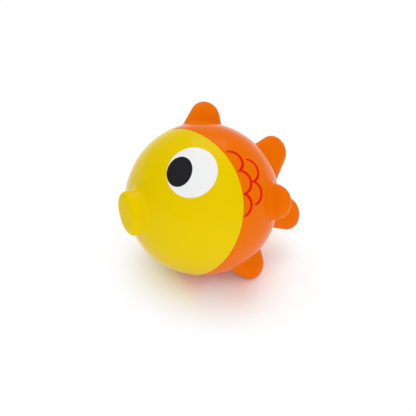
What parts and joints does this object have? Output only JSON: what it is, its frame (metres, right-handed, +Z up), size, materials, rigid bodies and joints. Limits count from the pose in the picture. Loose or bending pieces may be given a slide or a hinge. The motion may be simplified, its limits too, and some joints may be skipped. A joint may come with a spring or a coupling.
{
  "type": "squeaky bath toy",
  "caption": "Round hollow vinyl fish for the bath, with a two-colour body, soft fins, a tube mouth, inlaid eyes and a squeaker in its belly.",
  "frame": {"origin": "the point of the round body that touches the floor when the toy lies at rest", "axes": "+Z up from the floor, +X level along the toy's length from mouth to tail"},
  "size_m": [0.126, 0.0916, 0.09],
  "materials": {
    "yellow_vinyl": "smooth glossy soft vinyl, yellow",
    "orange_vinyl": "smooth glossy soft vinyl, orange, with painted red scale arcs",
    "eye_white": "smooth glossy vinyl, white",
    "pupil_black": "smooth glossy vinyl, near black",
    "squeaker_plastic": "satin milky hard plastic",
    "reed_brass": "thin bright brass strip"
  },
  "bodies": {
    "toy": {"face_shell": "yellow_vinyl", "rear_shell": "orange_vinyl", "eye_white_left": "eye_white", "eye_white_right": "eye_white", "pupil_left": "pupil_black", "pupil_right": "pupil_black", "squeaker_housing": "squeaker_plastic", "squeaker_cover": "squeaker_plastic", "reed_seat": "squeaker_plastic"},
    "reed": {"reed": "reed_brass"}
  },
  "joints": [
    {"name": "reed_flex", "type": "hinge", "parent": "toy", "child": "reed", "pos_m": [-0.0046, -0.02308, 0.01684], "axis": [0.0788, -0.7774, 0.6241], "range_deg": [0, 5], "stiffness_Nm_per_rad": 0.004}
  ]
}
